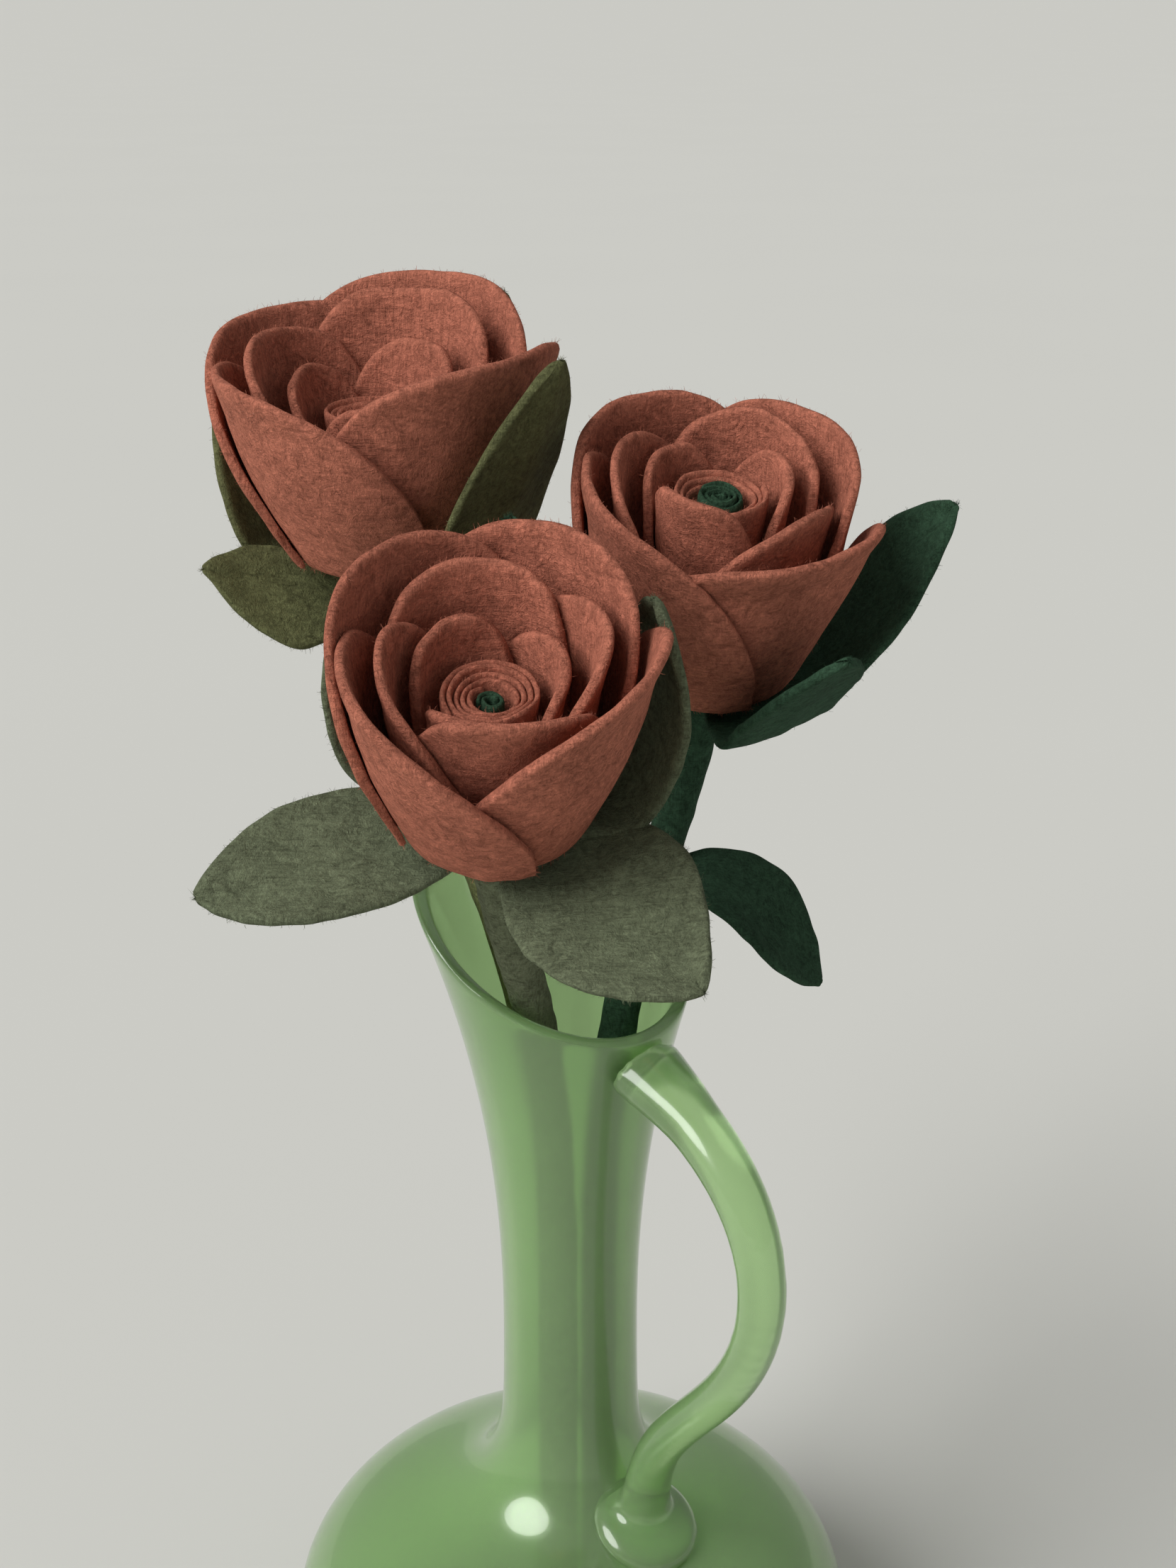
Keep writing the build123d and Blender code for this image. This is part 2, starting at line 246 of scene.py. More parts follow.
class FlowerSettings(bpy.types.PropertyGroup):
    """Sizes and colours of the felt."""

    petal: FloatVectorProperty(
        name="Petals", description="Colour of the petals' felt",
        default=(0.42, 0.142, 0.090), subtype="COLOR",
    )
    sage: FloatVectorProperty(
        name="Sage", description="Colour of the front flower's leaves",
        default=(0.128, 0.145, 0.086), subtype="COLOR",
    )
    taupe: FloatVectorProperty(
        name="Taupe", description="Colour of the front flower's stem",
        default=(0.150, 0.165, 0.100), subtype="COLOR",
    )
    forest: FloatVectorProperty(
        name="Forest", description="Colour of the right flower's leaves and stem",
        default=(0.033, 0.070, 0.040), subtype="COLOR",
    )
    olive: FloatVectorProperty(
        name="Olive", description="Colour of the back flower's leaves and stem",
        default=(0.115, 0.118, 0.052), subtype="COLOR",
    )
    leaf_felt: FloatProperty(
        name="Leaf felt", description="Thickness of the leaves' felt",
        default=0.002, unit="LENGTH",
    )
    fuzz: IntProperty(name="Fuzz", description="Loose fibres on each flower", default=9000, min=0)
    seed: IntProperty(name="Seed", description="Seed of the loose fibres", default=7)


class StageSettings(bpy.types.PropertyGroup):
    """The floor, the lights and the camera."""

    floor: FloatVectorProperty(
        name="Floor", description="Colour of the floor",
        default=(0.62, 0.62, 0.585), subtype="COLOR",
    )
    key: FloatProperty(name="Key light", description="Strength of the soft main light", default=3.2)
    sky: FloatProperty(name="Sky", description="Strength of the light from all round", default=0.34)


# --- shader helpers ---------------------------------------------------------------------------
class Tone:
    """A shader value that can stand in a Python expression."""

    def __init__(self, paint, socket):
        self.paint, self.socket = paint, socket

    def _math(self, operation, *values):
        return self.paint.node("ShaderNodeMath", {"operation": operation}, *values)

    def __add__(self, other):
        return self._math("ADD", self, other)

    __radd__ = __add__

    def __sub__(self, other):
        return self._math("SUBTRACT", self, other)

    def __rsub__(self, other):
        return self._math("SUBTRACT", other, self)

    def __mul__(self, other):
        return self._math("MULTIPLY", self, other)

    __rmul__ = __mul__

    def clamp(self):
        return self._math("MINIMUM", self._math("MAXIMUM", self, 0.0), 1.0)


class Paint:
    """One procedural material."""

    def __init__(self, name, constants):
        self.material = bpy.data.materials.new(name)
        self.material.use_nodes = True
        self.tree = self.material.node_tree
        self.shader = self.tree.nodes["Principled BSDF"]
        for socket, value in constants.items():
            self.shader.inputs[socket].default_value = value

    def node(self, kind, settings, *values, output=0, **named):
        node = self.tree.nodes.new(kind)
        for key, value in settings.items():
            setattr(node, key, value)
        for key, value in [*enumerate(values), *named.items()]:
            socket = node.inputs[key]
            if isinstance(value, Tone):
                self.tree.links.new(value.socket, socket)
            else:
                socket.default_value = value
        return Tone(self, node.outputs[output])

    def place(self):
        return self.node("ShaderNodeTexCoord", {}, output="Object")

    def noise(self, place, scale, detail=4.0, roughness=0.6, distortion=0.0):
        return self.node(
            "ShaderNodeTexNoise", {}, Vector=place, Scale=scale, Detail=detail, Roughness=roughness,
            Distortion=distortion,
        )

    def stretch(self, place, scale, turn=(0.0, 0.0, 0.0)):
        return self.node("ShaderNodeMapping", {}, Vector=place, Scale=scale, Rotation=turn)

    def mix(self, factor, low, high):
        node = self.tree.nodes.new("ShaderNodeMix")
        node.data_type = "RGBA"
        for index, value in ((0, factor), (6, low), (7, high)):
            if isinstance(value, Tone):
                self.tree.links.new(value.socket, node.inputs[index])
            else:
                node.inputs[index].default_value = value if index == 0 else (*value[:3], 1.0)
        return Tone(self, node.outputs[2])

    def bump(self, height, strength, distance):
        return self.node("ShaderNodeBump", {}, Strength=strength, Distance=distance, Height=height)

    def drive(self, socket, tone):
        self.tree.links.new(tone.socket, self.shader.inputs[socket])


def shade(colour, amount):
    """A colour made lighter or darker."""
    return tuple(c * amount for c in colour)


def felt_paint(name, colour):
    """Wool felt: matted fibres in lighter and darker tones of one colour, with a faint sheen."""
    paint = Paint(name, {
        "Roughness": 0.96, "Specular IOR Level": 0.08,
        "Sheen Weight": 0.10, "Sheen Roughness": 0.5, "Sheen Tint": (*shade(colour, 1.8), 1.0),
    })
    place = paint.place()
    matting = paint.noise(place, 260.0, 4.0, 0.65, 1.8)
    threads = paint.noise(paint.stretch(place, (1.0, 1.0, 0.16), (0.5, 0.3, 0.0)), 950.0, 4.0, 0.7, 2.6)
    crossing = paint.noise(paint.stretch(place, (0.18, 1.0, 1.0), (0.0, 0.6, 0.8)), 850.0, 4.0, 0.7, 2.6)
    patches = paint.noise(place, 60.0, 2.0, 0.5)
    tone = (0.34 * matting + 0.33 * threads + 0.33 * crossing + 0.10 * patches - 0.55) * 4.6 + 0.5
    dark = shade(colour, 0.55)
    light = (colour[0] * 1.55, colour[1] * 1.60, colour[2] * 1.62)
    paint.drive("Base Color", paint.mix(tone.clamp(), dark, light))
    height = 0.6 * threads + 0.6 * crossing + 0.9 * matting
    paint.drive("Normal", paint.bump(height, 0.85, 0.0011))
    return paint.material


def glass_paint(name, settings):
    """Milky glass: coloured, softly blurred and a little uneven."""
    paint = Paint(name, {
        "Roughness": settings.roughness, "IOR": 1.47, "Transmission Weight": 0.80,
        "Coat Weight": 0.5, "Coat Roughness": 0.06,
    })
    place = paint.place()
    cloud = paint.noise(place, 14.0, 2.0, 0.5)
    colour = tuple(settings.glass)
    cloudy = paint.mix((cloud * 2.0 - 0.5).clamp(), shade(colour, 0.92), shade(colour, 1.08))
    paint.drive("Base Color", cloudy)
    ripple = paint.noise(paint.stretch(place, (1.0, 1.0, 0.5)), 22.0, 1.0, 0.4)
    paint.drive("Normal", paint.bump(ripple, 0.12, 0.004))
    return paint.material


def wire_paint(name):
    """Dull drawn wire."""
    paint = Paint(name, {"Metallic": 1.0, "Base Color": (0.42, 0.42, 0.40, 1.0)})
    grain = paint.noise(paint.stretch(paint.place(), (1.0, 1.0, 0.05)), 3000.0, 2.0)
    paint.drive("Roughness", 0.35 + 0.25 * grain)
    return paint.material


def floor_paint(colour):
    """Plain matt floor."""
    paint = Paint("floor", {"Roughness": 0.9, "Specular IOR Level": 0.1})
    cloud = paint.noise(paint.place(), 3.0, 1.0, 0.4)
    paint.drive("Base Color", paint.mix(cloud, shade(colour, 0.99), shade(colour, 1.01)))
    return paint.material


def finish_of(slot):
    """The finished material of a slot, made once."""
    name = f"{slot}_finish"
    if name in bpy.data.materials:
        return bpy.data.materials[name]
    flowers = bpy.context.scene.flower_settings
    felts = {
        "petal_felt": flowers.petal, "sage_felt": flowers.sage, "taupe_felt": flowers.taupe,
        "forest_felt": flowers.forest, "olive_felt": flowers.olive,
    }
    if slot in felts:
        return felt_paint(name, tuple(felts[slot]))
    if slot == "milky_green_glass":
        return glass_paint(name, bpy.context.scene.vase_settings)
    if slot == "stem_wire":
        return wire_paint(name)
    raise ValueError(f"no finish for {slot}")


# --- mesh helpers -----------------------------------------------------------------------------
def add_piece(name, points, faces, slot, body, nodes=(), levels=1):
    """Links a smooth mesh of points in millimetres, riding on a body and standing for CAD nodes."""
    mesh = bpy.data.meshes.new(name)
    mesh.from_pydata([tuple(p) for p in np.asarray(points, float) * MM], [], faces)
    mesh.validate()
    mesh.shade_smooth()
    piece = bpy.data.objects.new(name, mesh)
    bpy.context.scene.collection.objects.link(piece)
    mesh.materials.append(finish_of(slot))
    if levels:
        modifier = piece.modifiers.new("Subdivision", "SUBSURF")
        modifier.levels = modifier.render_levels = levels
    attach(piece, body)
    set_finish(piece, slot)
    if nodes:
        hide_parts(*nodes)
    return piece


def unit(vectors):
    """The vectors, each at length one."""
    return vectors / np.maximum(np.linalg.norm(vectors, axis=-1, keepdims=True), 1e-9)


def sheet_mesh(middle, thickness):
    """Points and faces of a thick sheet round a grid on its middle surface, with rounded cut edges."""
    rows, columns = middle.shape[:2]
    normal = unit(np.cross(np.gradient(middle, axis=1), np.gradient(middle, axis=0)))
    half = np.broadcast_to(thickness, (rows, columns))[..., None] / 2
    loop = [(0, c) for c in range(columns)] + [(r, columns - 1) for r in range(1, rows)]
    loop += [(rows - 1, c) for c in range(columns - 2, -1, -1)] + [(r, 0) for r in range(rows - 2, 0, -1)]
    edge_rows, edge_columns = np.array(loop).T
    edge = middle[edge_rows, edge_columns]
    inner = middle[np.clip(edge_rows, 1, rows - 2), np.clip(edge_columns, 1, columns - 2)]
    edge = edge - unit(inner - edge) * half[edge_rows, edge_columns] * EDGE_ROUNDING
    faced = [(middle + side * normal * half).reshape(-1, 3) for side in (1, -1)]
    points = np.concatenate([*faced, edge])
    points = points + np.stack([roll(points, LUMP_SCALE, LUMP_SIZE, seed) for seed in (3, 5, 8)], -1)
    count = rows * columns
    faces = []
    for r in range(rows - 1):
        for c in range(columns - 1):
            a = r * columns + c
            quad = (a, a + 1, a + columns + 1, a + columns)
            faces.append(quad)
            faces.append(tuple(count + i for i in reversed(quad)))
    for i, (r, c) in enumerate(loop):
        following = (i + 1) % len(loop)
        nr, nc = loop[following]
        a, b = r * columns + c, nr * columns + nc
        faces.append((b, a, 2 * count + i, 2 * count + following))
        faces.append((2 * count + following, 2 * count + i, count + a, count + b))
    return points, faces


def grid_area(middle):
    """Area of a grid of points, in square millimetres."""
    a = middle[1:, :-1] - middle[:-1, :-1]
    b = middle[:-1, 1:] - middle[:-1, :-1]
    return float(np.linalg.norm(np.cross(a, b), axis=-1).sum())


def felt_piece(name, middle, thickness, slot, body, nodes, rests_on, wide_rows=slice(None), extras=()):
    """A cut piece of felt round its middle surface, marked with where its cut edge's points start."""
    points, faces = sheet_mesh(middle, thickness)
    piece = add_piece(name, points, faces, slot, body, nodes)
    piece["cut_edge"] = 2 * middle.shape[0] * middle.shape[1]
    area = grid_area(middle)


def natural_spline(points, count):
    """Points at equal steps along a smooth curve through the given points."""
    points = np.asarray(points, float)
    n = len(points)
    t = np.concatenate([[0], np.cumsum(np.linalg.norm(np.diff(points, axis=0), axis=1))])
    h = np.diff(t)
    matrix, right = np.eye(n), np.zeros_like(points)
    for i in range(1, n - 1):
        matrix[i, i - 1:i + 2] = h[i - 1], 2 * (h[i - 1] + h[i]), h[i]
        right[i] = 6 * ((points[i + 1] - points[i]) / h[i] - (points[i] - points[i - 1]) / h[i - 1])
    bend = np.linalg.solve(matrix, right)
    at = np.linspace(0, t[-1], count)
    i = np.clip(np.searchsorted(t, at, side="right") - 1, 0, n - 2)
    a, b, w = (t[i + 1] - at)[:, None], (at - t[i])[:, None], h[i][:, None]
    return (
        bend[i] * a**3 / (6 * w) + bend[i + 1] * b**3 / (6 * w)
        + (points[i] / w - bend[i] * w / 6) * a + (points[i + 1] / w - bend[i + 1] * w / 6) * b
    )


def head_axes(rose):
    """A flower's own directions: to its right, to its back and along its axis."""
    z = unit(np.array(rose["axis"], float))
    x = unit(np.cross((0.0, 1.0, 0.0), z))
    return np.stack([x, np.cross(z, x), z])


def to_world(rose, local):
    """Points from a flower's own frame to the row's, in millimetres."""
    return np.array(rose["base"]) + np.asarray(local) @ head_axes(rose)


def soft(value, low, high):
    """A smooth step from 0 at low to 1 at high."""
    t = np.clip((value - low) / (high - low), 0, 1)
    return t * t * (3 - 2 * t)


def roll(points, scale, amount, seed):
    """Uneven offsets, one for each point, that vary smoothly over space."""
    shift = Vector((seed * 3.1, seed * 1.7, seed * 0.9))
    values = [noise.noise(Vector(p) * scale + shift) for p in points.reshape(-1, 3)]
    return np.array(values).reshape(points.shape[:-1]) * amount


# --- flower pieces ----------------------------------------------------------------------------
def ring_drift(petals):
    """How far a petal moves outwards over its width, so that it clears the next one of its ring."""
    azimuths = [p[0] for p in petals]
    steps = [(b - a) % 360 for a, b in zip(azimuths, azimuths[1:] + azimuths[:1])]
    return (FELT + PETAL_GAP) * 2 * DRIFT_HALF / min(steps)


def petal_grid(rose, ring, petal, seed):
    """The middle surface of one dome-shaped petal and its thickness, as grids."""
    base_radius, top_radius, petals = ring
    azimuth, height, lean, fullness, curl = petal
    drift = ring_drift(petals)
    rows, columns = 15, 41
    across = np.sin(np.linspace(-1, 1, columns) * 1.42) / np.sin(1.42) * 0.985
    v, u = np.meshgrid(np.linspace(0, 1, rows), across, indexing="ij")
    v = v ** 0.9
    z = v * height * np.sqrt(1 - np.abs(u) ** fullness)
    z += roll(np.stack([u * 2.2 + 0 * v, v * 0.7, 0 * u], -1), 1.0, 1.5, seed) * soft(v, 0.4, 1.0)
    z = np.maximum(z, 0.4)
    share = z / LOFT_HEIGHT
    spread = 1 - (1 - share) ** 2
    ramp = np.minimum(1.0, 2.5 * share)
    thick = FELT_BASE + (FELT - FELT_BASE) * ramp
    angle = u * PETAL_HALF + lean * z / height
    radius = base_radius + (top_radius - base_radius) * spread + thick / 2
    radius += drift * (BASE_SQUEEZE + (1 - BASE_SQUEEZE) * ramp) * (angle / DRIFT_HALF + 1) / 2
    theta = np.radians(angle + azimuth)
    wave = np.sin(2 * theta + 0.7) + 0.7 * np.sin(3 * theta + 2.1) + 0.4 * np.sin(5 * theta + 1.0)
    radius += rose["wave"] * wave * soft(share, 0.15, 0.9)
    radius += curl * soft(u, 0.0, 0.9) * soft(z / height, 0.35, 0.9) * 1.2
    radius += 0.8 * soft(z / height, 0.78, 1.02) * (0.6 + curl)
    middle = np.stack([radius * np.cos(theta), radius * np.sin(theta), z], -1)
    return to_world(rose, middle), thick


def strip_grid(inner, outer, turns, low, top, base_share, rows, seed, start=0.0):
    """The middle surface of a felt strip rolled into a spiral, in a flower's own frame."""
    columns = int(turns * 26) + 1
    v, s = np.meshgrid(np.linspace(0, 1, rows), np.linspace(0, 1, columns), indexing="ij")
    angle = start + s * turns * 2 * np.pi
    radius = inner + (outer - inner) * s
    rim = top(radius) + roll(np.stack([s * turns * 2.5, 0 * s, 0 * s], -1), 1.0, 1.1, seed)
    z = low + (rim - low) * v
    radius = radius * (base_share + (1 - base_share) * v) * (1 + 0.03 * np.sin(2 * angle + 1.0))
    return np.stack([radius * np.cos(angle), radius * np.sin(angle), z], -1)


def leaf_grid(root, along, up, rise, length, width, flat, bend_radius, arch, rolled, sweep, fold, seed):
    """The middle surface of one almond-shaped leaf: a flat root, a tight bend and a gently bent blade."""
    side = np.cross(up, along)
    turn = math.radians(rolled)
    side, up = side * math.cos(turn) + up * math.sin(turn), up * math.cos(turn) - side * math.sin(turn)
    rows, columns = 31, 13
    v, u = np.meshgrid(np.linspace(0, 1, rows), np.linspace(-1, 1, columns), indexing="ij")
    bend = math.radians(rise)
    in_bend, blade_length = abs(bend) * bend_radius, length - flat
    steps = np.linspace(0, flat + in_bend + blade_length, 600)
    lean = bend * np.clip((steps - flat) / max(in_bend, 0.01), 0, 1)
    lean += math.radians(arch) * np.clip((steps - flat - in_bend) / blade_length, 0, 1)
    run = np.concatenate([[0], np.cumsum(np.cos(lean[1:]) * np.diff(steps))])
    climb = np.concatenate([[0], np.cumsum(np.sin(lean[1:]) * np.diff(steps))])
    s = v * steps[-1]
    x, z, lean = (np.interp(s, steps, values) for values in (run, climb, lean))
    half = width / 2 * np.clip(np.sin(np.pi * np.clip(0.10 + 0.90 * v, 0, 1) ** 1.12), 0, 1) ** 0.72 * 1.02
    half = np.maximum(half, 0.25)
    half *= 1 + roll(np.stack([v * 3.0, u * 0.4, 0 * v], -1), 1.0, 0.10, seed)
    y = u * half + sweep * v * v
    lift = fold * np.abs(u * half) * soft(v, 0.12, 0.5)
    lift += roll(np.stack([v * 1.6, u * 1.1, 0 * v], -1), 1.0, 2.0, seed + 9) * soft(v, 0.2, 0.9)
    x, z = x - np.sin(lean) * lift, z + np.cos(lean) * lift
    return np.asarray(root) + x[..., None] * along + y[..., None] * side + z[..., None] * up


def leaf_of(rose, leaf, seed):
    """The middle surface of a leaf under a flower."""
    azimuth, rise, length, width, deeper, arch, rolled, sweep, fold = leaf
    x_dir, y_dir, z_dir = head_axes(rose)
    a = math.radians(azimuth)
    along = x_dir * math.cos(a) + y_dir * math.sin(a)
    root = np.array(rose["base"]) - z_dir * (3.1 + deeper) + along * 5.8
    flat = rose["rings"]["outer"][0] + 6.0 - 5.6
    return leaf_grid(root, along, z_dir, rise, length, width, flat, 7.0, arch, rolled, sweep, fold, seed)


def side_leaf():
    """The middle surface of the small leaf on the right flower's stem."""
    route = stem_route(ROSES["right_rose"])
    at = route[np.argmin(np.abs(route[:, 2] - 215.0))]
    a = math.radians(-20.0)
    along, up = np.array([math.cos(a), math.sin(a), 0.0]), np.array([0.0, 0.0, 1.0])
    return leaf_grid(at + along * 5.2, along, up, -50.0, 32.0, 22.0, 4.0, 12.0, -8.0, 25.0, -3.0, 0.25, 97)


def stem_route(rose):
    """Points along a stem, from its foot in the vase to the place where it bends under the flower."""
    azimuth, lower_pull, upper_pull = rose["stem"]
    foot = np.array([6.4 * math.cos(math.radians(azimuth)), 6.4 * math.sin(math.radians(azimuth)), 6.4])
    z = head_axes(rose)[2]
    pivot = np.array(rose["base"]) - z * PIVOT_DEPTH
    shoulder = np.array([foot[0], foot[1], 128.0])
    t = np.linspace(0, 1, 60)[:, None]
    handles = [shoulder, shoulder + (0, 0, lower_pull), pivot - z * upper_pull, pivot]
    weights = ((1 - t) ** 3, 3 * t * (1 - t) ** 2, 3 * t * t * (1 - t), t**3)
    bend = sum(weight * handle for weight, handle in zip(weights, handles))
    return np.concatenate([np.linspace(foot, shoulder, 40)[:-1], bend])


def carried_frames(route):
    """Side and up directions carried along a route without twisting."""
    along = unit(np.gradient(route, axis=0))
    side = np.cross(along[0], (0.0, 1.0, 0.0))
    sides = []
    for direction in along:
        side = side - direction * side.dot(direction)
        side = side / np.linalg.norm(side)
        sides.append(side)
    sides = np.array(sides)
    return sides, np.cross(along, sides)


# --- operators --------------------------------------------------------------------------------
class PieceOperator(bpy.types.Operator):
    """Shared options of the building operators."""

    bl_options = {"REGISTER", "UNDO"}


class VASE_OT_body(PieceOperator):
    """Blow the glass body: round bulb, narrow neck and slanting flared mouth"""

    bl_idname = "vase.body"
    bl_label = "Glass body"

    def execute(self, context):
        settings = context.scene.vase_settings
        heights = (135.0, 155.0, 172.0, 188.0, 204.0, 220.0, MOUTH_TOP)
        flare = [(15.1 + 10.3 * ((h - 111.0) / 80.0) ** 2.2, h) for h in heights]
        outer = natural_spline(PROFILE + flare, 801)
        along = unit(np.gradient(outer, axis=0))
        wall = settings.wall / MM
        inner = (outer + np.stack([-along[:, 1], along[:, 0]], -1) * wall)[96:]
        segments = 96
        slope = math.tan(settings.mouth_slant)
        mouth = settings.mouth_height / MM

        def cut(line, angle, back):
            """The line up to where the mouth's plane cuts it, less a step back."""
            over = line[:, 1] + slope * line[:, 0] * math.cos(angle - HANDLE_AZIMUTH) - mouth + back
            last = int(np.argmax(over > 0))
            share = over[last - 1] / (over[last - 1] - over[last])
            return last - 1 + share

        def sample(line, at):
            return np.stack([np.interp(at, np.arange(len(line)), line[:, k]) for k in (0, 1)], -1)

        columns = []
        for angle in np.linspace(0, 2 * np.pi, segments, endpoint=False):
            steps = np.linspace(0, 1, 46) ** 0.92
            outside = sample(outer, steps * cut(outer, angle, 1.3))
            inside = sample(inner, steps * cut(inner, angle, 1.3))
            lip_out = sample(outer, [cut(outer, angle, 0.25)])[0]
            lip_in = sample(inner, [cut(inner, angle, 0.25)])[0]
            top = sum(sample(side, [cut(side, angle, 0.0)])[0] for side in (outer, inner)) / 2
            toward = (lip_in - lip_out) / np.linalg.norm(lip_in - lip_out)
            line = [(r, 0.0) for r in (6.0, 18.0, 29.0)] + list(outside)
            line += [lip_out + toward * 0.3, top, lip_in - toward * 0.3] + list(inside[::-1])
            line += [(r, 6.0 + 0.0035 * r * r) for r in (34.0, 20.0, 7.0)]
            radius, height = np.array(line).T
            columns.append(np.stack([radius * math.cos(angle), radius * math.sin(angle), height], -1))
        count = len(columns[0])
        points = np.concatenate([*columns, [(0, 0, 0), (0, 0, 6.0)]])
        faces = []
        for j in range(segments):
            k = (j + 1) % segments
            for i in range(count - 1):
                faces.append((j * count + i, k * count + i, k * count + i + 1, j * count + i + 1))
            faces.append((segments * count, k * count, j * count))
            faces.append((segments * count + 1, j * count + count - 1, k * count + count - 1))
        add_piece("glass_body", points, faces, "milky_green_glass", "vase", ["vase_body"], levels=1)
        return {"FINISHED"}


class VASE_OT_handle(PieceOperator):
    """Draw the glass handle, with its root under the rim and its pressed pad on the shoulder"""

    bl_idname = "vase.handle"
    bl_label = "Glass handle"

    def execute(self, context):
        route = natural_spline(HANDLE_ROUTE, 90)
        share = np.linspace(0, 1, len(route))
        half_width = np.interp(share, [s[0] for s in HANDLE_SECTIONS], [s[1] for s in HANDLE_SECTIONS])
        half_depth = np.interp(share, [s[0] for s in HANDLE_SECTIONS], [s[2] for s in HANDLE_SECTIONS])
        along = unit(np.gradient(route, axis=0))
        across = np.stack([-along[:, 1], along[:, 0]], -1)
        out = np.array([math.cos(HANDLE_AZIMUTH), math.sin(HANDLE_AZIMUTH), 0.0])
        side = np.array([math.sin(HANDLE_AZIMUTH), -math.cos(HANDLE_AZIMUTH), 0.0])
        up = np.array([0.0, 0.0, 1.0])
        sides = 24
        points, faces = [], []
        for centre, w, d, n in zip(route, half_width, half_depth, across):
            for k in range(sides):
                a = 2 * np.pi * k / sides
                flat = centre + n * d * math.cos(a)
                points.append(flat[0] * out + flat[1] * up + side * w * math.sin(a))
        for i in range(len(route) - 1):
            for k in range(sides):
                a, b = i * sides + k, i * sides + (k + 1) % sides
                faces.append((a, b, b + sides, a + sides))
        faces.append(tuple(reversed(range(sides))))
        faces.append(tuple(range((len(route) - 1) * sides, len(route) * sides)))
        tilt = math.atan2(28.0, 60.0)
        pad_out = out * math.cos(tilt) - up * math.sin(tilt)
        pad_up = out * math.sin(tilt) + up * math.cos(tilt)
        pad = 25.5 * out + 68.0 * up
        start = len(points)
        for i in range(13):
            lat = np.pi * (i + 0.5) / 13 - np.pi / 2
            for k in range(32):
                a = 2 * np.pi * k / 32
                spoke = math.cos(a) * pad_out + math.sin(a) * side
                points.append(pad + 12.5 * math.cos(lat) * spoke + 4.5 * math.sin(lat) * pad_up)
        for i in range(12):
            for k in range(32):
                a, b = start + i * 32 + k, start + i * 32 + (k + 1) % 32
                faces.append((a, b, b + 32, a + 32))
        faces.append(tuple(start + k for k in reversed(range(32))))
        faces.append(tuple(start + 12 * 32 + k for k in range(32)))
        piece = add_piece("glass_handle", points, faces, "milky_green_glass", "vase", ["vase_handle"], levels=0)
        join = piece.modifiers.new("Join", "REMESH")
        join.mode, join.voxel_size, join.use_smooth_shade = "VOXEL", 0.0009, True
        soften = piece.modifiers.new("Soften", "SMOOTH")
        soften.factor, soften.iterations = 0.5, 14
        return {"FINISHED"}


class VASE_OT_stems(PieceOperator):
    """Wind a felt strip round each wire stem, with its seam along the stem"""

    bl_idname = "vase.stems"
    bl_label = "Wrapped stems"

    def execute(self, context):
        for index, (name, rose) in enumerate(ROSES.items()):
            route = stem_route(rose)
            sides, ups = carried_frames(route)
            columns = 37
            a = np.linspace(0, 2 * np.pi * 1.06, columns)
            seam = math.radians((205.0, 245.0, 235.0)[index])
            radius = 3.05 + 0.55 * a / (2 * np.pi)
            ring = np.stack([np.cos(a + seam) * radius, np.sin(a + seam) * radius], -1)
            winding = sides[:, None, :] * ring[None, :, :1] + ups[:, None, :] * ring[None, :, 1:]
            winding[-2:] *= 0.72
            middle = (route[:, None, :] + winding)[:-1]
            wire = frame["nodes"][f"{name}_stem_wire"]
            felt_piece(
                f"{name}_wrap", middle, WRAP_FELT, STEM_SLOT[name], "bunch", [f"{name}_stem_wrap"], wire.name,
            )
            wire.data.materials.clear()
            wire.data.materials.append(finish_of("stem_wire"))
        return {"FINISHED"}


class VASE_OT_petals(PieceOperator):
    """Cut and set the overlapping felt petals of the three roses"""

    bl_idname = "vase.petals"
    bl_label = "Petals"

    def execute(self, context):
        seed = 1
        for name, rose in ROSES.items():
            for ring_name, ring in rose["rings"].items():
                for number, petal in enumerate(ring[2], start=1):
                    seed += 1
                    middle, thick = petal_grid(rose, ring, petal, seed)
                    felt_piece(
                        f"{name}_{ring_name}_felt_{number}", middle, thick, "petal_felt", rose["body"],
                        [f"{name}_{ring_name}_petal_{number}"], f"{name}_disc", slice(0, 1),
                    )
        return {"FINISHED"}


class VASE_OT_centres(PieceOperator):
    """Roll the felt strips in the middle of each rose and the green bud inside them"""

    bl_idname = "vase.centres"
    bl_label = "Rolled middles"

    def execute(self, context):
        for index, (name, rose) in enumerate(ROSES.items()):
            base, top, height = rose["coil"]
            bud, bud_height = rose["bud"]
            body, disc = rose["body"], f"{name}_disc"
            inner = bud + 0.85
            turns = (top - bud - 0.4) / COIL_PITCH

            def rim(radius):
                """The coil sinks towards its middle."""
                return height - 2.2 * (1 - (radius - inner) / (top - inner)) ** 1.5

            coil = strip_grid(inner, top - 0.55, turns, 0.6, rim, base / top, 9, 40 + index, start=2.0)
            felt_piece(
                f"{name}_coil", to_world(rose, coil), COIL_FELT, "petal_felt", body, [f"{name}_core"], disc,
            )
            turns = max((bud - 0.9) / BUD_PITCH, 1.3)
            green = strip_grid(
                0.9, bud - 0.6, turns, 0.6, lambda r: bud_height - 0.45 * bud + 0 * r, 1.0, 7, 60 + index,
            )
            felt_piece(
                f"{name}_green_roll", to_world(rose, green), BUD_FELT, "forest_felt", body,
                [f"{name}_bud"], disc,
            )
        return {"FINISHED"}


